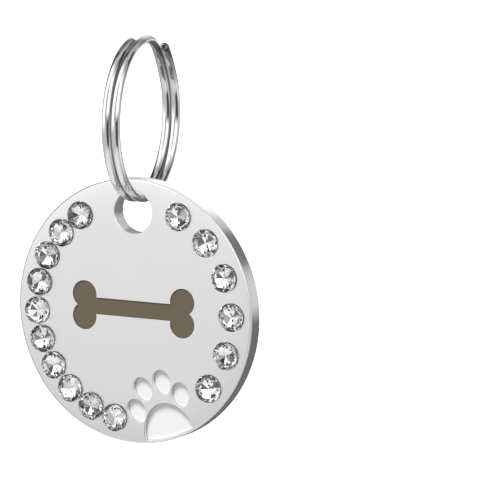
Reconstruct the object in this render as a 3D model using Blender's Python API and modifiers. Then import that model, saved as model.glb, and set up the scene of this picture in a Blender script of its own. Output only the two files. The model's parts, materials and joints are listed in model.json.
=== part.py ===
"""Round metal pet tag with set crystals, an enamelled paw and a split ring.

The tag hangs as it does on a collar. +Z is up, the front faces -Y, and the origin is
the point at the top of the split ring, on its inside, that a collar bears on.
"""
import math

import bmesh
import bpy
from mathutils import Vector

MM = 0.001

# Tag plate
TAG_RADIUS = 15.0 * MM
TAG_THICKNESS = 2.0 * MM
TAG_EDGE_BEVEL = 0.15 * MM
HOLE_RADIUS = 2.4 * MM
HOLE_WEB = 1.35 * MM           # metal between the hole and the rim
HOLE_CHAMFER = 0.05 * MM

# Split ring: one wire, wound almost twice
WIRE_DIAMETER = 1.05 * MM
RING_RADIUS = 8.8 * MM         # to the middle of the wire
TURN_GAP = 0.42 * MM           # free space between the two turns
RING_YAW = 7.6                 # degrees that the hanging ring is turned about +Z
WIRE_START = 6.0               # degrees before the top, on the front side
WIRE_END = 24.0                # degrees behind the top
HANG_CLEARANCE = 0.05 * MM     # between the wire and the hole that it carries

# Crystals: flat backed, with eight main facets on the crown
STONE_DIAMETER = 3.1 * MM
STONE_CROWN = 0.50 * MM        # height above the girdle
STONE_GIRDLE = 0.20 * MM
STONE_RISE = 0.28 * MM         # how far the girdle stands out of the plate
STONE_BACK = 0.55 * MM         # taper below the girdle
STONE_BACK_INSET = 0.30 * MM   # how far the taper draws in
TABLE_RADIUS = 0.85 * MM
STAR_RADIUS = 1.20 * MM        # where the star facets end
STONE_RIM = 0.92 * MM          # metal between a pocket and the tag's rim
POCKET_CLEARANCE = 0.03 * MM   # round the girdle
POCKET_WALL = 0.09 * MM        # least metal between two pockets of the close row
BOND_THICKNESS = 0.08 * MM
BOND_CLEARANCE = 0.02 * MM     # above and below the adhesive
LEFT_START = 123.3             # degrees from +X, the first crystal left of the hole
RIGHT_START = 62.7             # degrees from +X, the first crystal right of the hole
RIGHT_COUNT = 6
STONE_TURN = 17.0              # degrees that each crystal is turned on from the last

# Paw: a clipped oval pad and four toes fanned round it
PAW_ACROSS = 4.88 * MM         # pad's centre, to the right of the tag's centre
PAW_ABOVE_RIM = 1.0 * MM       # pad's centre, above the lowest point of the rim
PAW_TILT = 22.7                # degrees that the paw leans to the left
PAD_HALF_WIDTH = 3.20 * MM
PAD_HALF_LENGTH = 4.12 * MM
PAD_RIM = 0.40 * MM            # metal between the pad and the tag's rim
TOE_HALF_WIDTH = 1.08 * MM
TOE_HALF_LENGTH = 1.41 * MM
TOE_SPACING = 0.50 * MM        # between neighbouring toes
INNER_TOE_GAP = 0.95 * MM      # between the pad and the two middle toes
OUTER_TOE_GAP = 0.07 * MM      # between the pad and the two outer toes
TOE_TURN = 0.36                # share of its place in the fan that a toe is turned
LEFT_ROW_TO_TOE = 0.36 * MM    # between the last crystal on the left and the first toe
RIGHT_ROW_TO_TOE = 1.17 * MM   # between the last crystal on the right and the last toe
ENAMEL_RECESS = 0.50 * MM
ENAMEL_THICKNESS = 0.20 * MM
ENAMEL_CLEARANCE = 0.02 * MM   # under and round the enamel

# Engraving
ENGRAVE_DEPTH = 0.10 * MM
BONE_HEIGHT = 0.30 * MM        # bone's centre above the tag's centre
BONE_KNOB_ACROSS = 6.30 * MM
BONE_KNOB_UP = 1.25 * MM
BONE_KNOB_RADIUS = 1.55 * MM
BONE_SHANK_HALF = 0.95 * MM
LINE_COUNT = 3
LINE_LENGTH = 16.0 * MM
LINE_WIDTH = 0.60 * MM
LINE_SPACING = 4.0 * MM
LINE_MIDDLE = -0.5 * MM        # middle line's height above the tag's centre

# Facets
DISC_SIDES = 96
HOLE_SIDES = 64
POCKET_SIDES = 32
STONE_SIDES = 16
RING_POINTS_PER_TURN = 48
OVAL_POINTS = 28
KNOB_POINTS = 12
CUT_MARGIN = 0.3 * MM          # how far a cutter stands out of the plate
MERGE = 0.0002 * MM

# Worked out from the sizes above
wire_radius = WIRE_DIAMETER / 2
turn_pitch = WIRE_DIAMETER + TURN_GAP
half_thickness = TAG_THICKNESS / 2
stone_radius = STONE_DIAMETER / 2
pocket_radius = stone_radius + POCKET_CLEARANCE
stone_circle = TAG_RADIUS - STONE_RIM - pocket_radius
stone_below = STONE_GIRDLE + STONE_BACK - STONE_RISE
pocket_depth = stone_below + BOND_THICKNESS + 2 * BOND_CLEARANCE
hole_up = TAG_RADIUS - HOLE_WEB - HOLE_RADIUS
pad_limit = TAG_RADIUS - PAD_RIM
pad_centre = Vector((PAW_ACROSS, -TAG_RADIUS + PAW_ABOVE_RIM))


def clear_scene():
    for obj in list(bpy.data.objects):
        bpy.data.objects.remove(obj, do_unlink=True)


def new_collection(name):
    collection = bpy.data.collections.new(name)
    bpy.context.scene.collection.children.link(collection)
    return collection


def make_material(name, colour, roughness, metallic):
    material = bpy.data.materials.new(name)
    material.use_nodes = True
    shader = material.node_tree.nodes["Principled BSDF"]
    shader.inputs["Base Color"].default_value = (*colour, 1.0)
    shader.inputs["Roughness"].default_value = roughness
    shader.inputs["Metallic"].default_value = metallic
    return material


def add_object(name, data, collection, parent, location=(0, 0, 0), turn=0.0, material=None):
    obj = bpy.data.objects.new(name, data)
    collection.objects.link(obj)
    obj.parent = parent
    obj.location = location
    obj.rotation_euler = (0, 0, turn)
    if material and not data.materials:
        data.materials.append(material)
    return obj


def add_empty(name, location, rotation):
    empty = bpy.data.objects.new(name, None)
    bpy.context.scene.collection.objects.link(empty)
    empty.location = location
    empty.rotation_euler = rotation
    return empty


def mark_as_cutter(obj):
    obj.hide_render = True
    obj.display_type = "WIRE"
    return obj


def disc_mesh(name, radius, depth, sides):
    mesh = bpy.data.meshes.new(name)
    bm = bmesh.new()
    bmesh.ops.create_cone(
        bm, cap_ends=True, segments=sides, radius1=radius, radius2=radius, depth=depth
    )
    bm.to_mesh(mesh)
    bm.free()
    return mesh


def outline_curve(name, points, thickness):
    """A flat closed outline, given half its thickness each way."""
    curve = bpy.data.curves.new(name, "CURVE")
    curve.dimensions = "2D"
    curve.fill_mode = "BOTH"
    curve.extrude = thickness / 2
    spline = curve.splines.new("POLY")
    spline.points.add(len(points) - 1)
    for point, place in zip(spline.points, points):
        point.co = (place.x, place.y, 0, 1)
    spline.use_cyclic_u = True
    return curve


def outline_cutter(name, points, depth, collection, parent, location):
    """A cutter of a flat outline, as a welded mesh."""
    curve = outline_curve(name + "_outline", points, depth)
    guide = add_object(name + "_outline", curve, bpy.context.scene.collection, None)
    depsgraph = bpy.context.evaluated_depsgraph_get()
    mesh = bpy.data.meshes.new_from_object(guide.evaluated_get(depsgraph))
    bpy.data.objects.remove(guide, do_unlink=True)
    bm = bmesh.new()
    bm.from_mesh(mesh)
    bmesh.ops.remove_doubles(bm, verts=bm.verts, dist=MERGE)
    bm.to_mesh(mesh)
    bm.free()
    return mark_as_cutter(add_object(name, mesh, collection, parent, location))


def polar(radius, degrees):
    angle = math.radians(degrees)
    return Vector((radius * math.cos(angle), radius * math.sin(angle)))


def turned(point, degrees):
    angle = math.radians(degrees)
    return Vector((
        point.x * math.cos(angle) - point.y * math.sin(angle),
        point.x * math.sin(angle) + point.y * math.cos(angle),
    ))


# Where the ring hangs in the hole

def ring_drop_in_hole():
    """How far the lowest point of the wire's middle lies above the hole's centre.

    The wire comes nearest the hole's wall at the plate's two faces, where the ring has
    curved up a little and its yaw has carried the outer turn sideways.
    """
    yaw = math.radians(RING_YAW)
    sideways = turn_pitch / 2 * math.cos(yaw) + half_thickness * math.tan(yaw)
    reach = HOLE_RADIUS - wire_radius - HANG_CLEARANCE
    along = half_thickness / math.cos(yaw)
    rise = RING_RADIUS - math.sqrt(RING_RADIUS**2 - along**2)
    return math.sqrt(reach**2 - sideways**2) - rise


ring_centre_z = -(RING_RADIUS - wire_radius)
hole_z = ring_centre_z - RING_RADIUS - ring_drop_in_hole()
tag_centre_z = hole_z - hole_up


# Crystal rows

def step_between(chord):
    return 2 * math.degrees(math.asin(chord / (2 * stone_circle)))


def row_end(toe, gap, side):
    """The angle at which a crystal on the circle clears a toe by a gap."""
    apart = pocket_radius + TOE_HALF_WIDTH + gap
    cosine = (stone_circle**2 + toe.length_squared - apart**2) / (2 * stone_circle * toe.length)
    return math.degrees(math.atan2(toe.y, toe.x) + side * math.acos(cosine))


def crystal_rows(toes):
    """Names and places of the close row on the left and the open row on the right."""
    left_end = row_end(toes[0][0], LEFT_ROW_TO_TOE, -1) + 360
    span = left_end - LEFT_START
    count = int(span / step_between(2 * pocket_radius + POCKET_WALL)) + 1
    left = [LEFT_START + span * i / (count - 1) for i in range(count)]
    right_end = row_end(toes[-1][0], RIGHT_ROW_TO_TOE, 1)
    span = RIGHT_START - right_end
    right = [RIGHT_START - span * i / (RIGHT_COUNT - 1) for i in range(RIGHT_COUNT)]
    rows = [("left", left), ("right", right)]
    return [
        (f"{row}_{i + 1:02d}", polar(stone_circle, angle))
        for row, angles in rows
        for i, angle in enumerate(angles)
    ]


# Paw

def pad_reach(degrees):
    """The oval's radius at an angle from its long axis."""
    angle = math.radians(degrees)
    across = PAD_HALF_LENGTH * math.sin(angle)
    along = PAD_HALF_WIDTH * math.cos(angle)
    return PAD_HALF_WIDTH * PAD_HALF_LENGTH / math.hypot(across, along)


def toe_places():
    """Centre and lean of the four toes, from the left to the right."""
    inner = pad_reach(0) + INNER_TOE_GAP + TOE_HALF_LENGTH
    step = math.degrees((2 * TOE_HALF_WIDTH + TOE_SPACING) / inner)
    toes = []
    for place, gap in ((1.5, OUTER_TOE_GAP), (0.5, INNER_TOE_GAP),
                       (-0.5, INNER_TOE_GAP), (-1.5, OUTER_TOE_GAP)):
        fan = place * step
        reach = pad_reach(fan) + gap + TOE_HALF_LENGTH
        centre = pad_centre + polar(reach, 90 + PAW_TILT + fan)
        toes.append((centre, PAW_TILT + TOE_TURN * fan))
    return toes


def toe_outline(lean, inset):
    width = TOE_HALF_WIDTH - inset
    length = TOE_HALF_LENGTH - inset
    points = []
    for i in range(OVAL_POINTS):
        angle = 2 * math.pi * i / OVAL_POINTS
        points.append(turned(Vector((width * math.cos(angle), length * math.sin(angle))), lean))
    return points


def pad_outline(inset):
    """The pad's oval where it lies inside the rim's arc, and that arc below it."""
    width = PAD_HALF_WIDTH - inset
    length = PAD_HALF_LENGTH - inset
    limit = pad_limit - inset

    def on_oval(angle):
        return pad_centre + turned(
            Vector((width * math.cos(angle), length * math.sin(angle))), PAW_TILT
        )

    def crossing(inside, outside):
        for _ in range(40):
            middle = (inside + outside) / 2
            if on_oval(middle).length < limit:
                inside = middle
            else:
                outside = middle
        return inside

    top = math.pi / 2
    right = crossing(top, top - math.pi / 2 - 0.4)
    left = crossing(top, top + math.pi / 2 + 0.4)
    arch = [on_oval(right + (left - right) * i / OVAL_POINTS) for i in range(OVAL_POINTS + 1)]
    start = math.atan2(arch[-1].y, arch[-1].x)
    end = math.atan2(arch[0].y, arch[0].x)
    steps = OVAL_POINTS // 2
    arc = [
        polar(limit, math.degrees(start + (end - start) * i / steps)) for i in range(1, steps)
    ]
    return arch + arc


# Engraved bone

def bone_outline():
    """Four knobs joined by a shank, run round once from the right-hand end's upper knob."""
    notch = math.sqrt(BONE_KNOB_RADIUS**2 - BONE_KNOB_UP**2)
    drop = BONE_KNOB_UP - BONE_SHANK_HALF
    neck = math.sqrt(BONE_KNOB_RADIUS**2 - drop**2)
    first = math.atan2(-BONE_KNOB_UP, notch)
    last = math.pi + math.atan2(drop, neck)
    quarter = []
    for i in range(KNOB_POINTS + 1):
        angle = first + (last - first) * i / KNOB_POINTS
        quarter.append(Vector((
            BONE_KNOB_ACROSS + BONE_KNOB_RADIUS * math.cos(angle),
            BONE_KNOB_UP + BONE_KNOB_RADIUS * math.sin(angle),
        )))
    right_top = quarter
    left_top = [Vector((-p.x, p.y)) for p in reversed(quarter)]
    left_bottom = [Vector((-p.x, -p.y)) for p in quarter]
    right_bottom = [Vector((p.x, -p.y)) for p in reversed(quarter)]
    return right_top + left_top[:-1] + left_bottom + right_bottom[:-1]


# Pieces

def build_split_ring(collection, frame, material):
    """The wire runs from its first cut end down the front, round, across and round again."""
    turns_degrees = 720 - WIRE_START - WIRE_END
    cross_from = 360 - WIRE_END
    cross_to = 360 + WIRE_START
    count = round(turns_degrees / 360 * RING_POINTS_PER_TURN)
    route = []
    for i in range(count + 1):
        angle = WIRE_START + turns_degrees * i / count
        share = min(max((angle - cross_from) / (cross_to - cross_from), 0), 1)
        eased = share * share * (3 - 2 * share)
        place = polar(RING_RADIUS, angle)
        route.append((angle, Vector((turn_pitch * (eased - 0.5), -place.y, place.x))))
    least = min(
        (a - b).length
        for i, (first, a) in enumerate(route)
        for second, b in route[i:]
        if second - first > 180
    )
    print(f"split ring: least gap between turns {(least - WIRE_DIAMETER) / MM:.3f} mm")
    curve = bpy.data.curves.new("split_ring", "CURVE")
    curve.dimensions = "3D"
    curve.bevel_depth = wire_radius
    curve.bevel_resolution = 2
    curve.use_fill_caps = True
    spline = curve.splines.new("POLY")
    spline.points.add(len(route) - 1)
    for point, (_, place) in zip(spline.points, route):
        point.co = (*place, 1)
    add_object("split_ring", curve, collection, frame, material=material)


def build_hole_cutter(collection, frame):
    """A turned plug with a flare at each face, which leaves a chamfered hole."""
    out = half_thickness + CUT_MARGIN
    flare = HOLE_RADIUS + HOLE_CHAMFER + CUT_MARGIN
    straight = half_thickness - HOLE_CHAMFER
    profile = [(0, out), (flare, out), (HOLE_RADIUS, straight),
               (HOLE_RADIUS, -straight), (flare, -out), (0, -out)]
    mesh = bpy.data.meshes.new("hole_cutter")
    mesh.from_pydata([(x, 0, z) for x, z in profile], [(i, i + 1) for i in range(5)], [])
    cutter = add_object("hole_cutter", mesh, collection, frame)
    screw = cutter.modifiers.new("turn", "SCREW")
    screw.axis = "Z"
    screw.steps = HOLE_SIDES
    screw.render_steps = HOLE_SIDES
    screw.use_merge_vertices = True
    screw.merge_threshold = MERGE
    mark_as_cutter(cutter)


def build_line_cutters(collection, frame):
    """Grooves for the plain ruled lines on the back."""
    half = LINE_LENGTH / 2 - LINE_WIDTH / 2
    ends = []
    for side, start in ((1, -90), (-1, 90)):
        for i in range(KNOB_POINTS + 1):
            end = polar(LINE_WIDTH / 2, start + 180 * i / KNOB_POINTS)
            ends.append(Vector((side * half, 0)) + end)
    depth = ENGRAVE_DEPTH + CUT_MARGIN
    behind = -half_thickness + ENGRAVE_DEPTH - depth / 2
    for i in range(LINE_COUNT):
        up = LINE_MIDDLE + LINE_SPACING * ((LINE_COUNT - 1) / 2 - i) - hole_up
        outline_cutter(f"line_{i + 1}", ends, depth, collection, frame, (0, up, behind))


def build_plate(collection, cutters, frame, material):
    mesh = disc_mesh("tag_plate", TAG_RADIUS, TAG_THICKNESS, DISC_SIDES)
    mesh.shade_smooth()
    mesh.set_sharp_from_angle(angle=math.radians(30))
    plate = add_object("tag_plate", mesh, collection, frame, (0, -hole_up, 0), 0, material)
    bevel = plate.modifiers.new("edge", "BEVEL")
    bevel.width = TAG_EDGE_BEVEL
    bevel.segments = 1
    bevel.limit_method = "ANGLE"
    cut = plate.modifiers.new("cuts", "BOOLEAN")
    cut.operation = "DIFFERENCE"
    cut.solver = "EXACT"
    cut.operand_type = "COLLECTION"
    cut.collection = cutters


def cut_pocket(name, place, cutters, frame):
    depth = pocket_depth + CUT_MARGIN
    mesh = disc_mesh(name, pocket_radius, depth, POCKET_SIDES)
    front = half_thickness - pocket_depth + depth / 2
    mark_as_cutter(add_object(name, mesh, cutters, frame, (place.x, place.y - hole_up, front)))


def crystal_mesh():
    """Crown of a table, stars and kites, a thin girdle, and a tapered flat back."""
    star_share = STAR_RADIUS * math.cos(math.pi / 8)
    star_height = STONE_CROWN * (stone_radius - star_share) / (stone_radius - TABLE_RADIUS)
    back_radius = stone_radius - STONE_BACK_INSET
    half_step = 360 / STONE_SIDES
    levels = [
        (TABLE_RADIUS, STONE_CROWN, STONE_SIDES // 2, 0),
        (STAR_RADIUS, star_height, STONE_SIDES // 2, half_step),
        (stone_radius, 0, STONE_SIDES, 0),
        (stone_radius, -STONE_GIRDLE, STONE_SIDES, 0),
        (back_radius, -STONE_GIRDLE - STONE_BACK, STONE_SIDES, 0),
    ]
    bm = bmesh.new()
    for radius, height, sides, start in levels:
        for i in range(sides):
            place = polar(radius, start + 360 * i / sides)
            bm.verts.new((place.x, place.y, height))
    bmesh.ops.convex_hull(bm, input=bm.verts)
    mesh = bpy.data.meshes.new("crystal")
    bm.to_mesh(mesh)
    bm.free()
    return mesh


def build_crystals(collection, cutters, frame, rows, glass, adhesive):
    """Each crystal sits in its own pocket on its own spot of adhesive."""
    crystal = crystal_mesh()
    bond = disc_mesh("bond", stone_radius - STONE_BACK_INSET, BOND_THICKNESS, STONE_SIDES)
    bond_front = half_thickness - pocket_depth + BOND_CLEARANCE + BOND_THICKNESS / 2
    for i, (name, place) in enumerate(rows):
        x, y = place.x, place.y - hole_up
        turn = math.radians(STONE_TURN * i)
        add_object(f"crystal_{name}", crystal, collection, frame,
                   (x, y, half_thickness + STONE_RISE), turn, glass)
        add_object(f"bond_{name}", bond, collection, frame,
                   (x, y, bond_front), turn, adhesive)
        cut_pocket(f"pocket_{name}", place, cutters, frame)


def build_paw(collection, cutters, frame, toes, enamel):
    """White enamel laid in five recesses, a little below the plate's face."""
    depth = ENAMEL_RECESS + CUT_MARGIN
    cut_front = half_thickness - ENAMEL_RECESS + depth / 2
    fill_front = half_thickness - ENAMEL_RECESS + ENAMEL_CLEARANCE + ENAMEL_THICKNESS / 2
    shapes = [("paw_pad", Vector((0, 0)), pad_outline(0), pad_outline(ENAMEL_CLEARANCE))]
    for i, (centre, lean) in enumerate(toes):
        shapes.append((f"paw_toe_{i + 1}", centre, toe_outline(lean, 0),
                       toe_outline(lean, ENAMEL_CLEARANCE)))
    for name, centre, recess, fill in shapes:
        x, y = centre.x, centre.y - hole_up
        outline_cutter(f"{name}_recess", recess, depth, cutters, frame, (x, y, cut_front))
        curve = outline_curve(f"{name}_enamel", fill, ENAMEL_THICKNESS)
        add_object(f"{name}_enamel", curve, collection, frame, (x, y, fill_front), 0, enamel)


def build_bone_cutter(cutters, frame):
    depth = ENGRAVE_DEPTH + CUT_MARGIN
    front = half_thickness - ENGRAVE_DEPTH + depth / 2
    place = (0, BONE_HEIGHT - hole_up, front)
    outline_cutter("bone_engraving", bone_outline(), depth, cutters, frame, place)


def build():
    clear_scene()
    parts = new_collection("pet_tag")
    cutters = new_collection("cutters")
    steel = make_material("tag_steel", (0.80, 0.79, 0.78), 0.22, 1.0)
    ring_steel = make_material("ring_steel", (0.62, 0.62, 0.63), 0.15, 1.0)
    glass = make_material("crystal", (0.90, 0.91, 0.93), 0.03, 0.0)
    adhesive = make_material("clear_adhesive", (0.80, 0.80, 0.76), 0.30, 0.0)
    enamel = make_material("white_enamel", (0.93, 0.93, 0.92), 0.12, 0.0)

    # The tag's frame stands on the hole's axis: its X and Y span the plate, its Z is the front
    tag_frame = add_empty("tag_frame", (0, 0, hole_z), (math.pi / 2, 0, 0))
    ring_frame = add_empty("ring_frame", (0, 0, ring_centre_z), (0, 0, math.radians(RING_YAW)))

    toes = toe_places()
    rows = crystal_rows(toes)
    build_split_ring(parts, ring_frame, ring_steel)
    build_hole_cutter(cutters, tag_frame)
    build_crystals(parts, cutters, tag_frame, rows, glass, adhesive)
    build_paw(parts, cutters, tag_frame, toes, enamel)
    build_bone_cutter(cutters, tag_frame)
    build_line_cutters(cutters, tag_frame)
    build_plate(parts, cutters, tag_frame, steel)


build()
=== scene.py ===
import json
import math
import random

import bmesh
import bpy
from mathutils import Matrix, Vector


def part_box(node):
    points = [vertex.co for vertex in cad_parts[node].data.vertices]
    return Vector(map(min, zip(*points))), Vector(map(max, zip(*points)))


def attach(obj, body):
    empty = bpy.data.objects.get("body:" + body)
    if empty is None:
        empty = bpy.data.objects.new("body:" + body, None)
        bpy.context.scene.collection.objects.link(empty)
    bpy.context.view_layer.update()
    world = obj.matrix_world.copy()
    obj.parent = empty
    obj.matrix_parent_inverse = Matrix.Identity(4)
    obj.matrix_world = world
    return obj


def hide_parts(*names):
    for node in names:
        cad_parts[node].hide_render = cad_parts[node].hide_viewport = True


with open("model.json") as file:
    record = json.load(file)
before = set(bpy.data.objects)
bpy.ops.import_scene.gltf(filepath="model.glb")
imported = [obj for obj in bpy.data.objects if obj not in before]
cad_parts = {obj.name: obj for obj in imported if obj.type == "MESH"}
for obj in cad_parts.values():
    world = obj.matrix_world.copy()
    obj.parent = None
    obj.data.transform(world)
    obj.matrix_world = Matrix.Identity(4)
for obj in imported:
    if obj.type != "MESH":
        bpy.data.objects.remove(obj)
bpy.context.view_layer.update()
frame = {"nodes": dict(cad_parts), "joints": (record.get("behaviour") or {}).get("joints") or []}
print("frame loaded:", len(frame["nodes"]), "CAD nodes")

mm = 0.001

# Where the tag and its hole are: the tag's hinge runs through the middle of the hole
plateLow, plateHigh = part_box("tag_plate")
tagCentre = (plateLow + plateHigh) / 2
tagRadius = (plateHigh.x - plateLow.x) / 2
frontY = plateLow.y
backY = plateHigh.y
holeZ = frame["joints"][0]["pos_m"][2]
holeRadius = 2.4 * mm


# Small helpers for modelling

def deselectAll():
    bpy.ops.object.select_all(action="DESELECT")


def makeActive(piece):
    deselectAll()
    piece.select_set(True)
    bpy.context.view_layer.objects.active = piece


def settle(piece, name):
    # the place goes into the mesh, and the object back to the origin
    makeActive(piece)
    bpy.ops.object.transform_apply(location=True, rotation=True, scale=True)
    piece.name = name
    piece.data.name = name
    return piece


def applyModifier(piece, kind, **values):
    makeActive(piece)
    modifier = piece.modifiers.new(kind.lower(), kind)
    for key, value in values.items():
        setattr(modifier, key, value)
    bpy.ops.object.modifier_apply(modifier=modifier.name)


def polar(radius, degrees):
    angle = math.radians(degrees)
    return radius * math.cos(angle), radius * math.sin(angle)


def turned(point, degrees):
    angle = math.radians(degrees)
    x, z = point
    return x * math.cos(angle) - z * math.sin(angle), x * math.sin(angle) + z * math.cos(angle)


def eased(share):
    share = min(max(share, 0), 1)
    return share * share * (3 - 2 * share)


def placeKey(place):
    return tuple(round(c, 8) for c in place)


def loft(name, outlines):
    # outlines are (points across and up, depth along Y), all with as many points, front first
    points, depth = outlines[0]
    deselectAll()
    bpy.ops.mesh.primitive_circle_add(vertices=len(points), fill_type="NGON")
    piece = bpy.context.active_object
    bpy.ops.object.mode_set(mode="EDIT")
    mesh = bmesh.from_edit_mesh(piece.data)
    order = {}      # which point of the outline lies at each place
    for i, (vertex, (x, z)) in enumerate(zip(mesh.verts, points)):
        vertex.co = (x, depth, z)
        order[placeKey(vertex.co)] = i
    for points, depth in outlines[1:]:
        bpy.ops.mesh.extrude_region_move()
        mesh = bmesh.from_edit_mesh(piece.data)
        before, order = order, {}
        for vertex in mesh.verts:
            if vertex.select:
                i = before[placeKey(vertex.co)]
                x, z = points[i]
                vertex.co = (x, depth, z)
                order[placeKey(vertex.co)] = i
    bpy.ops.mesh.select_all(action="SELECT")
    bpy.ops.mesh.normals_make_consistent(inside=False)
    bpy.ops.object.mode_set(mode="OBJECT")
    return settle(piece, name)


# Small helpers for materials

class Value:
    # a socket whose arithmetic adds Math nodes
    def __init__(self, graph, socket):
        self.graph = graph
        self.socket = socket

    def __add__(self, other):
        return self.graph.math("ADD", self, other)

    def __radd__(self, other):
        return self.graph.math("ADD", other, self)

    def __sub__(self, other):
        return self.graph.math("SUBTRACT", self, other)

    def __rsub__(self, other):
        return self.graph.math("SUBTRACT", other, self)

    def __mul__(self, other):
        return self.graph.math("MULTIPLY", self, other)

    def __rmul__(self, other):
        return self.graph.math("MULTIPLY", other, self)

    def __pow__(self, other):
        return self.graph.math("POWER", self, other)


class Graph:
    def __init__(self, tree):
        self.tree = tree

    def add(self, kind, settings, sockets, output=0):
        # every node is made here, its settings first
        node = self.tree.nodes.new(kind)
        for key, value in settings.items():
            setattr(node, key, value)
        for key, value in sockets.items():
            if isinstance(value, Value):
                self.tree.links.new(value.socket, node.inputs[key])
            else:
                node.inputs[key].default_value = value
        if node.outputs:     # an output node has none
            return Value(self, node.outputs[output])

    def math(self, operation, first, second=0.0):
        return self.add("ShaderNodeMath", {"operation": operation}, {0: first, 1: second})

    def split(self, vector):
        node = self.add("ShaderNodeSeparateXYZ", {}, {0: vector}).socket.node
        return [Value(self, socket) for socket in node.outputs]

    def band(self, value, low, high, lowTo=0.0, highTo=1.0):
        # rises smoothly from lowTo at low to highTo at high
        return self.add("ShaderNodeMapRange", {"interpolation_type": "SMOOTHSTEP"}, {
            "Value": value, "From Min": low, "From Max": high, "To Min": lowTo, "To Max": highTo,
        })

    def noise(self, place, size, detail=2.0, roughness=0.5):
        sockets = {"Vector": place, "Scale": 1 / size, "Detail": detail, "Roughness": roughness}
        return self.add("ShaderNodeTexNoise", {}, sockets)

    def bump(self, height):
        return self.add("ShaderNodeBump", {}, {"Strength": 1.0, "Distance": 1.0, "Height": height})

    def blend(self, share, first, second):
        first, second = (c if isinstance(c, Value) else (*c, 1.0) for c in (first, second))
        return self.add("ShaderNodeMix", {"data_type": "RGBA"}, {0: share, 6: first, 7: second}, 2)

    def attribute(self, name):
        return self.add("ShaderNodeAttribute", {"attribute_name": name}, {}, 2)


def newMaterial(name, constants):
    material = bpy.data.materials.new(name)
    material.use_nodes = True
    tree = material.node_tree
    shader = tree.nodes["Principled BSDF"]
    for key, value in constants.items():
        shader.inputs[key].default_value = value
    graph = Graph(tree)
    place = graph.add("ShaderNodeTexCoord", {}, {}, 3)     # Object coordinates

    def feed(key, value):
        tree.links.new(value.socket, shader.inputs[key])

    return material, graph, place, feed


# Outlines of the paw and the bone, across and up from the tag's centre

pawShape = {
    "across": 4.88 * mm,        # middle of the pad's oval
    "aboveRim": 1.0 * mm,
    "tilt": 22.7,
    "padHalfWidth": 3.20 * mm,
    "padHalfLength": 4.12 * mm,
    "padRim": 0.40 * mm,
    "padSteps": 48,
    "rimSteps": 24,
    "toeHalfWidth": 1.08 * mm,
    "toeHalfLength": 1.41 * mm,
    "toeSpacing": 0.50 * mm,
    "innerToeGap": 0.95 * mm,
    "outerToeGap": 0.07 * mm,
    "toeTurn": 0.36,            # how far a toe leans for each degree of its place in the fan
    "toePoints": 72,
    "clearance": 0.02 * mm,
    "depth": 0.52 * mm,
    "enamelTop": 0.45 * mm,     # below the plate's face
    "meniscus": 0.03 * mm,      # how far the enamel climbs its wall
    "smoothAngle": 40,
    # how far in from the wall, in millimetres, and how much of the climb is reached there
    "climb": ((0.60, 0.0), (0.38, 0.02), (0.22, 0.12), (0.12, 0.38), (0.05, 0.72), (0.0, 1.0)),
}
padCentre = (pawShape["across"], pawShape["aboveRim"] - tagRadius)


def padReach(degrees):
    angle = math.radians(degrees)
    width, length = pawShape["padHalfWidth"], pawShape["padHalfLength"]
    return width * length / math.hypot(length * math.sin(angle), width * math.cos(angle))


def toePlaces():
    s = pawShape
    inner = padReach(0) + s["innerToeGap"] + s["toeHalfLength"]
    step = math.degrees((2 * s["toeHalfWidth"] + s["toeSpacing"]) / inner)
    toes = []
    for place in (1.5, 0.5, -0.5, -1.5):
        fan = place * step
        gap = s["outerToeGap"] if abs(place) > 1 else s["innerToeGap"]
        x, z = polar(padReach(fan) + gap + s["toeHalfLength"], 90 + s["tilt"] + fan)
        toes.append((padCentre[0] + x, padCentre[1] + z, s["tilt"] + s["toeTurn"] * fan))
    return toes


def toeOutline(toe, inset):
    x, z, lean = toe
    width = pawShape["toeHalfWidth"] - inset
    length = pawShape["toeHalfLength"] - inset
    points = []
    for i in range(pawShape["toePoints"]):
        angle = 2 * math.pi * i / pawShape["toePoints"]
        px, pz = turned((width * math.cos(angle), length * math.sin(angle)), lean)
        points.append((x + px, z + pz))
    return points


def padOutline(inset):
    # an oval that stops at an arc along the rim
    s = pawShape
    width = s["padHalfWidth"] - inset
    length = s["padHalfLength"] - inset
    limit = tagRadius - s["padRim"] - inset

    def onOval(angle):
        x, z = turned((width * math.cos(angle), length * math.sin(angle)), s["tilt"])
        return padCentre[0] + x, padCentre[1] + z

    def crossing(inside, outside):
        for _ in range(40):     # halving, far finer than needed
            middle = (inside + outside) / 2
            if math.hypot(*onOval(middle)) < limit:
                inside = middle
            else:
                outside = middle
        return inside

    top = math.pi / 2
    below = 0.4     # past the oval's widest points, where it is outside the arc
    right = crossing(top, -below)
    left = crossing(top, math.pi + below)
    steps = s["padSteps"]
    pad = [onOval(right + (left - right) * i / steps) for i in range(steps + 1)]
    start = math.atan2(pad[-1][1], pad[-1][0])
    end = math.atan2(pad[0][1], pad[0][0])
    steps = s["rimSteps"]
    for i in range(1, steps):
        pad.append(polar(limit, math.degrees(start + (end - start) * i / steps)))
    return pad


def onTag(points, depthY):
    return [(x, z + tagCentre.z) for x, z in points], depthY


def circleOutline(centre, radius, sides):
    x, z = centre
    points = [polar(radius, 360 * i / sides) for i in range(sides)]
    return [(x + px, z + pz) for px, pz in points]


boneShape = {
    "up": 0.30 * mm,
    "knobAcross": 6.30 * mm,
    "knobUp": 1.25 * mm,
    "knobRadius": 1.55 * mm,
    "shankHalf": 0.95 * mm,
    "knobPoints": 20,
}


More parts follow.
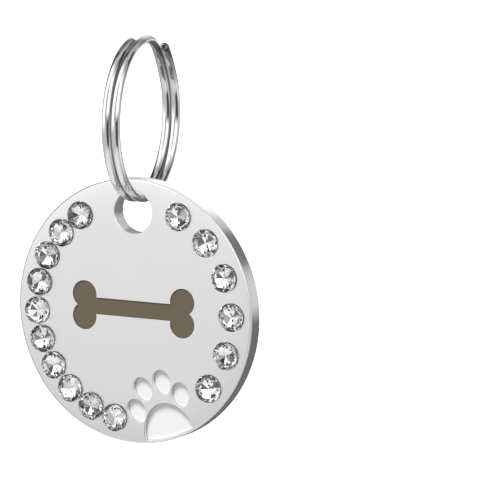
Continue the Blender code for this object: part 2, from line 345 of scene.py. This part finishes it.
def boneOutline():
    s = boneShape
    radius, up, across = s["knobRadius"], s["knobUp"], s["knobAcross"]
    notch = math.sqrt(radius**2 - up**2)
    drop = up - s["shankHalf"]
    neck = math.sqrt(radius**2 - drop**2)
    first = math.atan2(-up, notch)
    last = math.pi + math.atan2(drop, neck)
    quarter = []
    for i in range(s["knobPoints"] + 1):
        angle = first + (last - first) * i / s["knobPoints"]
        quarter.append((across + radius * math.cos(angle), up + radius * math.sin(angle)))
    leftTop = [(-x, z) for x, z in reversed(quarter)]
    leftBottom = [(-x, -z) for x, z in quarter]
    rightBottom = [(x, -z) for x, z in reversed(quarter)]
    outline = quarter + leftTop[:-1] + leftBottom + rightBottom[:-1]
    return [(x, z + s["up"]) for x, z in outline]


# Ruled lines on the back
lineShape = {
    "count": 3,
    "length": 16.0 * mm,
    "width": 0.60 * mm,
    "spacing": 4.0 * mm,
    "middle": -0.5 * mm,
    "endPoints": 20,
}


def lineOutline(middle):
    s = lineShape
    half = s["length"] / 2 - s["width"] / 2
    points = []
    for side, start in ((1, -90), (-1, 90)):
        for i in range(s["endPoints"] + 1):
            x, z = polar(s["width"] / 2, start + 180 * i / s["endPoints"])
            points.append((side * half + x, middle + z))
    return points


# Tag plate

steelFinish = {
    "light": (0.80, 0.80, 0.80),
    "dark": (0.77, 0.77, 0.77),
    "cloudSize": 6.0 * mm,
    "fineSize": 0.35 * mm,
    "fineChange": 0.06,             # in roughness
    "faceRoughness": 0.32,          # tumbled faces
    "wallRoughness": 0.12,          # turned rim and hole
    "faceSkin": 0.01 * mm,          # the face's own finish ends this far below it
    "edgeWidth": 0.28 * mm,
    "edgeInward": (1.2, 0.4),       # where the front edge's rougher band, with its painted highlight and shade, starts and is full, in widths
    "edgeDeep": 0.6,                # and where it is full below the face, in widths
    "edgeRoughness": 0.50,
    "worn": (0.94, 0.94, 0.94),     # painted highlight, on the front edge's right and in the hole
    "dull": (0.42, 0.42, 0.42),     # and painted shade, on the front edge's left
    "dullAcross": (-0.75, 0.0),     # between these, in radii from the middle
    "tarnish": (0.58, 0.58, 0.58),  # painted shade in the hole, on all but its bright side
    "tarnishReach": (2.43 * mm, 2.50 * mm),
    "brightSide": 215.0,            # degrees round the hole that keep their painted highlight
    "brightReach": (0.84, 0.98),    # cosines of the angles from there where it starts and is full
    "holeRoughness": 0.95,
    "rollOff": 0.12 * mm,           # how far the polishing wheel took the face down at the rim
    "rollPower": 8.0,
    "polishSize": 0.9 * mm,
    "polishDepth": 0.0005 * mm,
}


def tagSteelMaterial():
    s = steelFinish
    material, graph, place, feed = newMaterial("tagSteel", {"Metallic": 1.0})
    x, y, z = graph.split(place)
    across = x * (1 / tagRadius)
    up = (z - tagCentre.z) * (1 / tagRadius)
    radius = (across * across + up * up) ** 0.5
    half = (backY - frontY) / 2
    width = s["edgeWidth"]
    face = graph.band(graph.math("ABSOLUTE", y - tagCentre.y), half - width, half - s["faceSkin"])
    start, full = (1 - share * width / tagRadius for share in s["edgeInward"])
    nearFront = graph.band(tagCentre.y - y, half - width, half - s["edgeDeep"] * width)
    edge = graph.band(radius, start, full) * nearFront

    fromHole = z - holeZ
    inHole = graph.band((x * x + fromHole * fromHole) ** 0.5, *s["tarnishReach"], 1.0, 0.0)
    # where in the hole the painted shade lies, by the angle round it
    side = polar(1 / holeRadius, s["brightSide"])
    shadeInHole = graph.band(x * side[0] + fromHole * side[1], *s["brightReach"], 1.0, 0.0)

    colour = graph.blend(graph.noise(place, s["cloudSize"], detail=3.0), s["dark"], s["light"])
    # painted shade on the front edge's left, running into a painted highlight on its right
    edgeLightAndShade = graph.blend(graph.band(across, *s["dullAcross"]), s["dull"], s["worn"])
    colour = graph.blend(edge, colour, edgeLightAndShade)
    # painted highlight over the hole's wall
    colour = graph.blend(inHole, colour, s["worn"])
    # painted shade in the hole, away from its bright side
    feed("Base Color", graph.blend(inHole * shadeInHole, colour, s["tarnish"]))

    smooth = s["wallRoughness"]
    roughness = smooth + face * (s["faceRoughness"] - smooth)
    roughness = roughness + edge * (1 - face) * (s["edgeRoughness"] - smooth)
    roughness = roughness + inHole * (1 - face) * (s["holeRoughness"] - smooth)
    fine = graph.noise(place, s["fineSize"], detail=3.0, roughness=0.6)
    feed("Roughness", roughness + (fine - 0.5) * s["fineChange"])
    outward = radius ** s["rollPower"]
    polish = graph.noise(place, s["polishSize"])
    feed("Normal", graph.bump(polish * s["polishDepth"] - outward * s["rollOff"]))
    return material


engravingFinish = {
    "light": (0.150, 0.120, 0.080),
    "dark": (0.120, 0.095, 0.062),
    "roughness": 0.70,
    "hatch": 0.10 * mm,         # from one pass of the engraver to the next
    "hatchShare": 0.3,
    "hatchDepth": 0.6,          # beside the grain's
    "grainSize": 0.12 * mm,
    "grainDepth": 0.006 * mm,
}


def engravingMaterial():
    s = engravingFinish
    material, graph, place, feed = newMaterial("engraving", {"Roughness": s["roughness"]})
    up = graph.split(place)[2] * (2 * math.pi / s["hatch"])
    lines = graph.math("SINE", up) * 0.5 + 0.5
    grain = graph.noise(place, s["grainSize"], detail=3.0, roughness=0.7)
    pattern = grain * (1 - s["hatchShare"]) + lines * s["hatchShare"]
    feed("Base Color", graph.blend(pattern, s["dark"], s["light"]))
    feed("Normal", graph.bump((lines * s["hatchDepth"] + grain) * s["grainDepth"]))
    return material


plateShape = {
    "sides": 288,
    "frontRound": 0.28 * mm,
    "backRound": 0.10 * mm,
    "roundSegments": 3,
    "holeSides": 128,
    "holeChamfer": 0.06 * mm,
    "pocketRadius": 1.58 * mm,
    "pocketSides": 64,
    "pocketDepth": 0.59 * mm,
    "pocketLip": 0.03 * mm,
    "recessLip": 0.10 * mm,             # rounded edge of the paw's recesses
    "lipAngles": (20, 40, 65, 90),
    "engraveDepth": 0.10 * mm,
    "margin": 0.01 * mm,                # how far cutters stand out of the plate
    "onFace": 0.001 * mm,               # how near a face an edge counts as its own
    "smoothAngle": 20,
}


def plateBlank():
    s = plateShape
    deselectAll()
    bpy.ops.mesh.primitive_cylinder_add(
        vertices=s["sides"], radius=tagRadius, depth=backY - frontY,
        location=tagCentre, rotation=(math.pi / 2, 0, 0),
    )
    plate = settle(bpy.context.active_object, "plate")
    bpy.ops.object.mode_set(mode="EDIT")
    for depth, width in ((frontY, s["frontRound"]), (backY, s["backRound"])):
        bpy.ops.mesh.select_all(action="DESELECT")
        mesh = bmesh.from_edit_mesh(plate.data)
        for edge in mesh.edges:
            edge.select = all(abs(end.co.y - depth) < s["onFace"] for end in edge.verts)
        bmesh.update_edit_mesh(plate.data)
        bpy.ops.mesh.bevel(offset=width, segments=s["roundSegments"], affect="EDGES")
    bpy.ops.object.mode_set(mode="OBJECT")
    return plate


def holeCutter():
    s = plateShape
    chamfer, margin = s["holeChamfer"], s["margin"]
    centre = (0, holeZ - tagCentre.z)
    wide = circleOutline(centre, holeRadius + chamfer + margin, s["holeSides"])
    straight = circleOutline(centre, holeRadius, s["holeSides"])
    return loft("holeCutter", [
        onTag(wide, frontY - margin),
        onTag(straight, frontY + chamfer),
        onTag(straight, backY - chamfer),
        onTag(wide, backY + margin),
    ])


def recessCutter(name, outlineAt, depth, lip):
    # a straight wall up to a rounded lip, which leaves the plate's face a little above it
    margin = plateShape["margin"]
    rows = [onTag(outlineAt(-lip - margin), frontY - margin)]
    for degrees in plateShape["lipAngles"]:
        outward, forward = polar(lip, 90 - degrees)
        rows.append(onTag(outlineAt(outward - lip), frontY + lip - forward))
    rows.append(onTag(outlineAt(0), frontY + depth))
    return loft(name, rows)


def pocketCutter(node):
    s = plateShape
    low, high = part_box(node)
    centre = ((low.x + high.x) / 2, (low.z + high.z) / 2 - tagCentre.z)

    def outlineAt(inset):
        return circleOutline(centre, s["pocketRadius"] - inset, s["pocketSides"])

    return recessCutter("pocketCutter", outlineAt, s["pocketDepth"], s["pocketLip"])


def toeCutter(toe):
    def outlineAt(inset):
        return toeOutline(toe, inset)

    return recessCutter("toeCutter", outlineAt, pawShape["depth"], plateShape["recessLip"])


def engravingCutters():
    margin, depth = plateShape["margin"], plateShape["engraveDepth"]
    bone = boneOutline()
    cutters = [loft("boneCutter", [onTag(bone, frontY - margin), onTag(bone, frontY + depth)])]
    for i in range(lineShape["count"]):
        middle = lineShape["middle"] + lineShape["spacing"] * ((lineShape["count"] - 1) / 2 - i)
        line = lineOutline(middle)
        ends = [onTag(line, backY - depth), onTag(line, backY + margin)]
        cutters.append(loft("lineCutter", ends))
    return cutters


def cutAway(plate, cutters):
    makeActive(cutters[0])
    for cutter in cutters:
        cutter.select_set(True)
    bpy.ops.object.join()
    applyModifier(
        plate, "BOOLEAN", operation="DIFFERENCE", solver="EXACT", material_mode="TRANSFER",
        object=cutters[0],
    )
    bpy.data.objects.remove(cutters[0], do_unlink=True)


def buildPlate():
    s = plateShape
    plate = plateBlank()
    cutters = [holeCutter()]
    cutters += [pocketCutter(name) for name in frame["nodes"] if name.startswith("crystal_")]
    cutters.append(recessCutter("padCutter", padOutline, pawShape["depth"], s["recessLip"]))
    firstToe, secondToe, thirdToe, lastToe = [toeCutter(toe) for toe in toePlaces()]
    cutters += [secondToe, thirdToe]
    # the outer toes' lips run into the pad's, so they are cut in a second go
    outerToes = [firstToe, lastToe]
    for cutter in cutters + outerToes:
        cutter.data.materials.append(tagSteel)
    engraved = engravingCutters()
    for cutter in engraved:
        cutter.data.materials.append(engraving)
    plate.data.materials.append(tagSteel)
    plate.data.materials.append(engraving)
    cutAway(plate, cutters + engraved)
    cutAway(plate, outerToes)
    makeActive(plate)
    bpy.ops.object.shade_smooth_by_angle(angle=math.radians(s["smoothAngle"]))
    # keeps the large faces flat
    applyModifier(plate, "WEIGHTED_NORMAL", keep_sharp=True, weight=100)
    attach(plate, "tag")
    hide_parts("tag_plate")
    print("plate cut:", len(plate.data.polygons), "faces")


# Enamel in the paw

enamelFinish = {
    "light": (0.87, 0.87, 0.87),
    "dark": (0.84, 0.84, 0.84),
    "cloudSize": 1.6 * mm,
    "roughness": 0.25,
    "coat": 0.3,
    "coatRoughness": 0.08,
    "waveSize": 0.8 * mm,
    "waveDepth": 0.004 * mm,
}


def enamelMaterial():
    s = enamelFinish
    material, graph, place, feed = newMaterial("whiteEnamel", {
        "Roughness": s["roughness"], "Coat Weight": s["coat"], "Coat Roughness": s["coatRoughness"],
    })
    cloud = graph.noise(place, s["cloudSize"], detail=3.0)
    feed("Base Color", graph.blend(cloud, s["dark"], s["light"]))
    feed("Normal", graph.bump(graph.noise(place, s["waveSize"]) * s["waveDepth"]))
    return material


def fillRecess(node, outlineAt):
    s = pawShape
    topY = frontY + s["enamelTop"]
    rows = []
    for inset, climb in s["climb"]:
        rows.append(onTag(outlineAt(s["clearance"] + inset * mm), topY - climb * s["meniscus"]))
    rows.append(onTag(outlineAt(s["clearance"]), frontY + s["depth"] - s["clearance"]))
    piece = loft(node.replace("_enamel", "_fill"), rows)
    piece.data.materials.append(enamel)
    makeActive(piece)
    bpy.ops.object.shade_smooth_by_angle(angle=math.radians(s["smoothAngle"]))
    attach(piece, "tag")
    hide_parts(node)


def buildEnamel():
    toes = toePlaces()
    fillRecess("paw_pad_enamel", padOutline)
    for i, toe in enumerate(toes):
        fillRecess(f"paw_toe_{i + 1}_enamel", lambda inset: toeOutline(toe, inset))
    print("enamel laid in", 1 + len(toes), "recesses")


# Crystals

crystalFinish = {
    "light": (1.0, 1.0, 1.0),
    "dark": (0.95, 0.95, 0.95),
    "cloudSize": 0.9 * mm,
    "refraction": 1.56,
    "scuff": 0.04,              # in roughness
    "scuffSize": 0.2 * mm,
}


def crystalMaterial():
    s = crystalFinish
    constants = {"IOR": s["refraction"], "Transmission Weight": 1.0}
    material, graph, place, feed = newMaterial("crystalGlass", constants)
    feed("Base Color", graph.blend(graph.noise(place, s["cloudSize"]), s["dark"], s["light"]))
    feed("Roughness", graph.noise(place, s["scuffSize"], detail=3.0) * s["scuff"])
    return material


foilFinish = {
    "light": (0.98, 0.98, 0.98),
    "dark": (0.06, 0.06, 0.06),
    "tones": (1.0, 1.0, 1.0, 0.95, 0.85, 0.6, 0.1),     # painted reflections: how bright a facet of the foil may be painted
    "cloudSize": 0.7 * mm,
    "cloudShare": 0.1,
    "roughness": 0.02,
    "scuff": 0.04,
    "scuffSize": 0.15 * mm,
}


def foilMaterial():
    s = foilFinish
    material, graph, place, feed = newMaterial("silverFoil", {"Metallic": 1.0})
    cloud = graph.noise(place, s["cloudSize"])
    # painted reflections: each facet of the foil painted dark or bright
    tone = graph.attribute("tone") + (cloud - 0.5) * s["cloudShare"]
    feed("Base Color", graph.blend(tone, s["dark"], s["light"]))
    feed("Roughness", s["roughness"] + graph.noise(place, s["scuffSize"], detail=3.0) * s["scuff"])
    return material


crystalShape = {
    "radius": 1.55 * mm,
    "crown": 0.50 * mm,
    "girdle": 0.20 * mm,
    "back": 0.55 * mm,
    "tableRadius": 0.80 * mm,
    "starRadius": 1.16 * mm,
    "backBreak": 0.62,          # the back's facets break here, as a share of the way in and down
    "tip": 0.04,                # radius of the flat tip, as a share of the stone's
    "sides": 8,
    "foilBelow": 0.01 * mm,     # the girdle's lower edge
    "turn": 17.0,               # degrees from one stone to the next
    "lean": 3.0,                # degrees, no two stones sit quite alike
    "seed": 5,
}


def crystalModel():
    s = crystalShape
    radius, sides = s["radius"], s["sides"]
    halfStep = 180 / sides
    rise = s["crown"] * (radius - s["starRadius"] * math.cos(math.radians(halfStep)))
    starHeight = rise / (radius - s["tableRadius"])
    levels = [
        (s["tableRadius"], s["crown"], sides, 0.0),
        (s["starRadius"], starHeight, sides, halfStep),
        (radius, 0.0, 2 * sides, 0.0),
        (radius, -s["girdle"], 2 * sides, 0.0),
        (s["backBreak"] * radius, -s["girdle"] - s["backBreak"] * s["back"], sides, halfStep),
        (s["tip"] * radius, -s["girdle"] - s["back"], sides, 0.0),
    ]
    deselectAll()
    for i, (levelRadius, height, corners, start) in enumerate(levels):
        bpy.ops.mesh.primitive_circle_add(
            vertices=corners, radius=levelRadius,
            location=(0, 0, height), rotation=(0, 0, math.radians(start)),
        )
        if i == 0:
            crystal = bpy.context.active_object
            bpy.ops.object.mode_set(mode="EDIT")
    bpy.ops.mesh.select_all(action="SELECT")
    bpy.ops.mesh.convex_hull()
    bpy.ops.object.mode_set(mode="OBJECT")
    settle(crystal, "crystalModel")
    crystal.data.materials.append(crystalGlass)
    crystal.data.materials.append(silverFoil)
    for face in crystal.data.polygons:
        face.material_index = 1 if face.center.z < -s["girdle"] - s["foilBelow"] else 0
    return crystal


def buildCrystals():
    s = crystalShape
    model = crystalModel()
    chance = random.Random(s["seed"])
    names = sorted(n for n in frame["nodes"] if n.startswith("crystal_"))
    for i, node in enumerate(names):
        low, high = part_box(node)
        stone = bpy.data.objects.new(node, model.data.copy())
        bpy.context.scene.collection.objects.link(stone)
        # each facet of the foil gets a painted reflection, dark or bright at random
        tone = stone.data.attributes.new("tone", "FLOAT", "FACE")
        for mark in tone.data:
            mark.value = chance.choice(foilFinish["tones"])
        leanX = chance.uniform(-s["lean"], s["lean"])
        leanY = chance.uniform(-s["lean"], s["lean"])
        girdle = low.y + s["crown"]
        stone.matrix_world = (
            Matrix.Translation(((low.x + high.x) / 2, girdle, (low.z + high.z) / 2))
            @ Matrix.Rotation(math.pi / 2 + math.radians(leanX), 4, "X")
            @ Matrix.Rotation(math.radians(leanY), 4, "Y")
            @ Matrix.Rotation(math.radians(s["turn"] * i), 4, "Z")
        )
        settle(stone, node.replace("crystal_", "stone_"))
        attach(stone, "tag")
        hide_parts(node)
    bpy.data.objects.remove(model, do_unlink=True)
    print("crystals set:", len(names))


# Adhesive under the crystals, on the CAD's own discs

adhesiveFinish = {
    "light": (0.82, 0.82, 0.78),
    "dark": (0.74, 0.74, 0.70),
    "cloudSize": 0.8 * mm,
    "roughness": 0.3,
}


def adhesiveMaterial():
    s = adhesiveFinish
    material, graph, place, feed = newMaterial("clearAdhesive", {"Roughness": s["roughness"]})
    feed("Base Color", graph.blend(graph.noise(place, s["cloudSize"]), s["dark"], s["light"]))
    return material


def finishAdhesive():
    bonds = [node for name, node in frame["nodes"].items() if name.startswith("bond_")]
    for node in bonds:
        node.data.materials.clear()
        node.data.materials.append(adhesive)
    print("adhesive finished:", len(bonds))


# Split ring

ringShape = {
    "wireAcross": 1.08 * mm,
    "wireThick": 0.86 * mm,     # rolled a little flat
    "pitch": 1.09 * mm,         # the two turns touch but for a hair
    "cadPitch": 1.47 * mm,      # the solid's, whose right-hand turn gives this one's place
    "yaw": 7.6,
    "start": 10.0,              # cut end in front of the top, in degrees
    "end": 28.0,                # cut end behind the top
    "crossFrom": -60.0,         # where the wire drifts from one turn's place to the next one's
    "crossTo": 12.0,
    "raise": 0.03 * mm,         # and how far it hangs from the solid's place
    "aside": 0.12 * mm,
    "back": 0.50 * mm,
    "pointsPerTurn": 170,
    "sectionPoints": 6,         # in each quarter of the wire's section
    "endRound": 0.10 * mm,
    "endShares": (0.12, 0.35, 0.65),     # further points along the rounding
    "grooveReach": 0.22 * mm,
    "grooveGrime": 0.95,
    "endGrime": 0.50 * mm,      # how far the cut ends get painted shade
    "mergeWithin": 0.0005 * mm,
    "smoothAngle": 60,
}
ringLow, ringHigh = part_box("split_ring")
ringRadius = (ringHigh.z - ringLow.z - ringShape["wireThick"]) / 2
ringCentreZ = (ringHigh.z + ringLow.z) / 2
ringShift = (ringShape["cadPitch"] - ringShape["pitch"]) / 2 + ringShape["aside"]

ringFinish = {
    "light": (0.80, 0.80, 0.80),
    "dark": (0.70, 0.70, 0.705),
    "cloudSize": 2.5 * mm,
    "cloudShare": 0.6,              # the streaks have the rest
    "roughness": 0.10,
    "roughChange": 0.10,
    "streakWidth": 0.10 * mm,       # drawing marks along the wire
    "streakLength": 9.0 * mm,
    "streakDepth": 0.0035 * mm,
    "dirt": (0.13, 0.13, 0.13),     # painted shade in the groove between the turns and on the cut ends
    "rubbed": (0.42, 0.42, 0.42),   # painted shade over the top of the ring
    "rubbedHeight": 1.0 * mm,
    "hazed": (0.40, 0.40, 0.405),   # painted shade behind the top
    "hazeTurn": 37.0,               # degrees from the top to its middle
    "hazeReach": (0.80, 0.97),      # cosines of the angles from there where it starts and is full
    "hazeStreak": 0.5,
}


def ringSteelMaterial():
    s = ringFinish
    material, graph, place, feed = newMaterial("ringSteel", {"Metallic": 1.0})
    yaw = math.radians(ringShape["yaw"])
    x, y, z = graph.split(place)
    across = x * math.cos(yaw) + y * math.sin(yaw)
    depth = y * math.cos(yaw) - x * math.sin(yaw)
    up = z - ringCentreZ
    radius = (depth * depth + up * up) ** 0.5
    along = graph.math("ARCTAN2", up, depth) * (ringRadius * s["streakWidth"] / s["streakLength"])
    wire = graph.add("ShaderNodeCombineXYZ", {}, {0: across, 1: radius, 2: along})
    streaks = graph.noise(wire, s["streakWidth"], detail=3.0, roughness=0.6)
    cloud = graph.noise(place, s["cloudSize"], detail=3.0)
    pattern = cloud * s["cloudShare"] + streaks * (1 - s["cloudShare"])
    metal = graph.blend(pattern, s["dark"], s["light"])
    # painted shade on the wire behind the top, broken up by the streaks
    shadeSide = polar(1 / ringRadius, 90.0 - s["hazeTurn"])
    toShade = depth * shadeSide[0] + up * shadeSide[1] + (streaks - 0.5) * s["hazeStreak"]
    metal = graph.blend(graph.band(toShade, *s["hazeReach"]), metal, s["hazed"])
    # painted shade over the ring's top
    rubbed = graph.band(up, ringRadius - s["rubbedHeight"], ringRadius)
    metal = graph.blend(rubbed, metal, s["rubbed"])
    # painted shade in the groove between the turns and on the cut ends
    feed("Base Color", graph.blend(graph.attribute("grime"), metal, s["dirt"]))
    feed("Roughness", s["roughness"] + (streaks - 0.5) * s["roughChange"])
    feed("Normal", graph.bump(streaks * s["streakDepth"]))
    return material


def wirePlace(angle):
    # turns lie side by side, and the wire drifts over to the next one across the top
    s = ringShape
    turn = math.floor((angle + 180) / 360)
    drift = eased((angle - 360 * turn - s["crossFrom"]) / (s["crossTo"] - s["crossFrom"]))
    x, y = polar(ringRadius, angle + 90)
    return x, y, s["pitch"] * (turn + drift - 1.5)     # a turn on each side of the middle


def markPaintedShade(ring, stop):
    # how close each point lies to the turn beside it, or to a cut end, which sets its painted shade
    s = ringShape
    yaw = math.radians(s["yaw"])
    slack = 0.1     # degrees, for points of the end caps
    grime = ring.data.attributes.new("grime", "FLOAT", "POINT")
    for vertex, mark in zip(ring.data.vertices, grime.data):
        x, y, z = vertex.co
        axial = x * math.cos(yaw) + y * math.sin(yaw) - ringShift
        depth = y * math.cos(yaw) - x * math.sin(yaw) - s["back"]
        angle = (math.degrees(math.atan2(z - ringCentreZ - s["raise"], depth)) - 90) % 360
        turns = [a for a in (angle, angle + 360) if s["start"] - slack <= a <= stop + slack]
        turns.sort(key=lambda a: abs(axial - wirePlace(a)[2]))
        gap = s["grooveReach"]
        if len(turns) > 1:
            gap = abs(axial - wirePlace(turns[1])[2]) - s["wireAcross"] / 2
        toEnd = math.radians(min(turns[0] - s["start"], stop - turns[0])) * ringRadius
        inGroove = s["grooveGrime"] * eased(1 - gap / s["grooveReach"])
        mark.value = 1 if toEnd < s["endGrime"] else inGroove


def windWire(section, stop):
    s = ringShape
    start = s["start"]
    count = round((stop - start) / 360 * s["pointsPerTurn"])
    rounding = math.degrees(s["endRound"] / ringRadius)
    angles = [start + (stop - start) * i / count for i in range(count + 1)]
    for share in s["endShares"]:
        angles += [start + rounding * share, stop - rounding * share]
    angles.sort()
    curve = bpy.data.curves.new("ringWire", "CURVE")
    curve.dimensions = "3D"
    curve.twist_mode = "Z_UP"
    curve.bevel_mode = "OBJECT"
    curve.bevel_object = section
    curve.use_fill_caps = True
    spline = curve.splines.new("POLY")
    spline.points.add(len(angles) - 1)
    for point, angle in zip(spline.points, angles):
        point.co = (*wirePlace(angle), 1)
        share = min(min(angle - start, stop - angle) / rounding, 1)
        point.radius = 0.5 + 0.5 * math.sqrt(1 - (1 - share) ** 2)
    ring = bpy.data.objects.new("splitRing", curve)
    bpy.context.scene.collection.objects.link(ring)
    return ring


def buildSplitRing():
    s = ringShape
    deselectAll()
    bpy.ops.curve.primitive_bezier_circle_add(radius=0.5)
    section = bpy.context.active_object
    section.scale = (s["wireThick"], s["wireAcross"], 1)
    bpy.ops.object.transform_apply(location=False, rotation=False, scale=True)
    section.data.resolution_u = s["sectionPoints"]

    stop = 720 - s["end"]
    ring = windWire(section, stop)
    # stood up: the curve's own X runs to the back, its Y up and its Z to the right
    upright = Matrix(((0, 0, 1), (1, 0, 0), (0, 1, 0))).to_4x4()
    ring.matrix_world = (
        Matrix.Translation((0, 0, ringCentreZ + s["raise"]))
        @ Matrix.Rotation(math.radians(s["yaw"]), 4, "Z")
        @ Matrix.Translation((ringShift, s["back"], 0))
        @ upright
    )
    makeActive(ring)
    bpy.ops.object.convert(target="MESH")
    bpy.data.objects.remove(section, do_unlink=True)
    ring = settle(bpy.context.active_object, "splitRing")
    bpy.ops.object.mode_set(mode="EDIT")
    bpy.ops.mesh.select_all(action="SELECT")
    bpy.ops.mesh.remove_doubles(threshold=s["mergeWithin"])
    bpy.ops.mesh.normals_make_consistent(inside=False)
    bpy.ops.object.mode_set(mode="OBJECT")
    bpy.ops.object.shade_smooth_by_angle(angle=math.radians(s["smoothAngle"]))
    markPaintedShade(ring, stop)
    ring.data.materials.append(ringSteel)
    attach(ring, "ring")
    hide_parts("split_ring")
    ring.visible_glossy = False     # keeps its smudge off the polished face
    print("split ring wound")


tagSteel = tagSteelMaterial()
engraving = engravingMaterial()
ringSteel = ringSteelMaterial()
enamel = enamelMaterial()
crystalGlass = crystalMaterial()
silverFoil = foilMaterial()
adhesive = adhesiveMaterial()
print("materials made")

buildPlate()
buildEnamel()
buildCrystals()
buildSplitRing()
finishAdhesive()


# Floor, light and camera

stageSetup = {
    "size": 4.0,
    "drop": 0.060,              # below the tag's lowest point
    "white": 0.93,
    "roughness": 0.9,
    "glow": 0.35,               # a light table, so that the floor stays white
}


def buildStage():
    s = stageSetup
    deselectAll()
    bpy.ops.mesh.primitive_plane_add(size=s["size"], location=(0, 0, plateLow.z - s["drop"]))
    floor = bpy.context.active_object
    floor.name = "floor"
    white = (s["white"], s["white"], s["white"], 1)
    floor.data.materials.append(newMaterial("paleFloor", {
        "Base Color": white, "Roughness": s["roughness"],
        "Emission Color": white, "Emission Strength": s["glow"],
    })[0])
    floor.visible_glossy = False
    floor.visible_transmission = False
    floor.visible_diffuse = False     # matt surfaces get the world's even light from below as well


# The studio that the metal and the crystals reflect: soft boxes and dark flags, each with the
# azimuths and elevations it lies between, how soft its edge is, all in degrees, and the
# brightness that it adds.
# Azimuth 0 is in front of the tag, and rises to the right, past 180 behind it.
studio = {
    "base": 0.66,
    "least": 0.05,              # no flag is quite black
    "patches": [
        ((-82, -14), (-7, 66), 16, 0.74),
        ((4, 72), (9, 58), 11, 0.80),
        ((-12, 0), (2, 50), 5, -1.0),
        ((-60, 30), (56, 74), 10, 0.40),
        ((12, 66), (-32, 3), 9, -0.58),
        ((-118, -82), (0, 60), 12, -0.34),
        ((108, 142), (24, 60), 12, -0.45),
        ((195, 258), (38, 76), 12, -0.42),
        ((219, 260), (-30, 38), 12, -0.40),
        ((172, 198), (-17, -3), 7, 1.0),
        ((60, 110), (60, 88), 14, -0.30),
        ((66, 112), (-40, -16), 8, 0.40),
        ((142, 158), (-3, 9), 5, 0.12),
        ((150, 166), (14, 30), 6, -0.45),
        ((144, 214), (-62, -7), 8, -0.48),
        ((176, 212), (14, 36), 12, 0.60),
        ((60, 250), (-90, -60), 14, -0.28),
        ((-110, 40), (-84, -36), 14, 0.34),
        ((98, 140), (4, 64), 12, -0.22),
    ],
}
lightSetup = {
    "ambient": 0.50,            # even light on matt surfaces
    "keyAzimuth": -14.0,
    "keyElevation": 61.0,
    "keySoftness": 20.0,
    "keyStrength": 3.7,
}


def direction(azimuth, elevation):
    a, e = math.radians(azimuth), math.radians(elevation)
    return Vector((math.sin(a) * math.cos(e), -math.cos(a) * math.cos(e), math.sin(e)))


def buildWorld():
    world = bpy.data.worlds.new("studio")
    bpy.context.scene.world = world
    world.use_nodes = True
    world.cycles.sampling_method = "NONE"     # so that matt surfaces see the even light alone
    world.node_tree.nodes.clear()
    graph = Graph(world.node_tree)
    x, y, z = graph.split(graph.add("ShaderNodeTexCoord", {}, {}))
    degree = 180 / math.pi
    azimuth = graph.math("ARCTAN2", x, y * -1) * degree
    wholeTurn = graph.math("FLOORED_MODULO", azimuth, 360.0)
    elevation = graph.math("ARCSINE", z) * degree
    light = studio["base"]
    for across, height, softness, strength in studio["patches"]:
        around = wholeTurn if across[1] > 180 else azimuth
        half = softness / 2
        patch = strength
        for value, (low, high) in ((around, across), (elevation, height)):
            patch = patch * graph.band(value, low - half, low + half)
            patch = patch * graph.band(value, high - half, high + half, 1.0, 0.0)
        light = light + patch
    light = graph.math("MAXIMUM", light, studio["least"])
    white = (1, 1, 1, 1)
    mirrored = graph.add("ShaderNodeBackground", {}, {"Color": white, "Strength": light})
    ambient = lightSetup["ambient"]
    even = graph.add("ShaderNodeBackground", {}, {"Color": white, "Strength": ambient})
    plain = graph.add("ShaderNodeBackground", {}, {"Color": white, "Strength": 1.0})
    cameraRay = graph.add("ShaderNodeLightPath", {}, {}, 0)
    diffuseRay = graph.add("ShaderNodeLightPath", {}, {}, 2)
    mixed = graph.add("ShaderNodeMixShader", {}, {0: diffuseRay, 1: mirrored, 2: even})
    mixed = graph.add("ShaderNodeMixShader", {}, {0: cameraRay, 1: mixed, 2: plain})
    graph.add("ShaderNodeOutputWorld", {}, {"Surface": mixed})


def addKeyLight():
    s = lightSetup
    data = bpy.data.lights.new("keyLight", "SUN")
    data.energy = s["keyStrength"]
    data.angle = math.radians(s["keySoftness"])
    lamp = bpy.data.objects.new("keyLight", data)
    bpy.context.scene.collection.objects.link(lamp)
    lamp.rotation_mode = "QUATERNION"
    lamp.rotation_quaternion = direction(s["keyAzimuth"], s["keyElevation"]).to_track_quat("Z", "Y")
    lamp.visible_camera = False
    lamp.visible_glossy = False     # the studio's soft boxes make the reflections


cameraSetup = {
    "azimuth": 29.93,
    "elevation": 9.25,
    "distance": 0.400,
    "pixelsPerMm": 8.900,           # at the tag's centre
    "imageSide": 480,
    "tagPixel": (137.5, 310.5),     # where the tag's centre shows
    "sensor": 36.0,
    "clip": (0.01, 20.0),
}


def buildCamera():
    s = cameraSetup
    side = s["imageSide"]
    data = bpy.data.cameras.new("camera")
    data.sensor_width = s["sensor"]
    data.lens = s["pixelsPerMm"] / mm * s["distance"] / side * data.sensor_width
    data.clip_start, data.clip_end = s["clip"]
    camera = bpy.data.objects.new("camera", data)
    bpy.context.scene.collection.objects.link(camera)
    bpy.context.scene.camera = camera

    back = direction(s["azimuth"], s["elevation"])
    right = direction(s["azimuth"] + 90, 0)
    up = back.cross(right)
    scale = mm / s["pixelsPerMm"]
    toRight = (side / 2 - s["tagPixel"][0]) * scale
    upward = (s["tagPixel"][1] - side / 2) * scale
    camera.location = tagCentre + back * s["distance"]
    forward = (tagCentre + right * toRight + up * upward - camera.location).normalized()
    right = (right - forward * right.dot(forward)).normalized()
    up = right.cross(forward)
    camera.rotation_mode = "QUATERNION"
    camera.rotation_quaternion = Matrix((right, up, -forward)).transposed().to_quaternion()


buildStage()
buildWorld()
addKeyLight()
buildCamera()
bpy.context.scene.view_settings.view_transform = "Standard"
print("stage, light and camera set")

deselectAll()
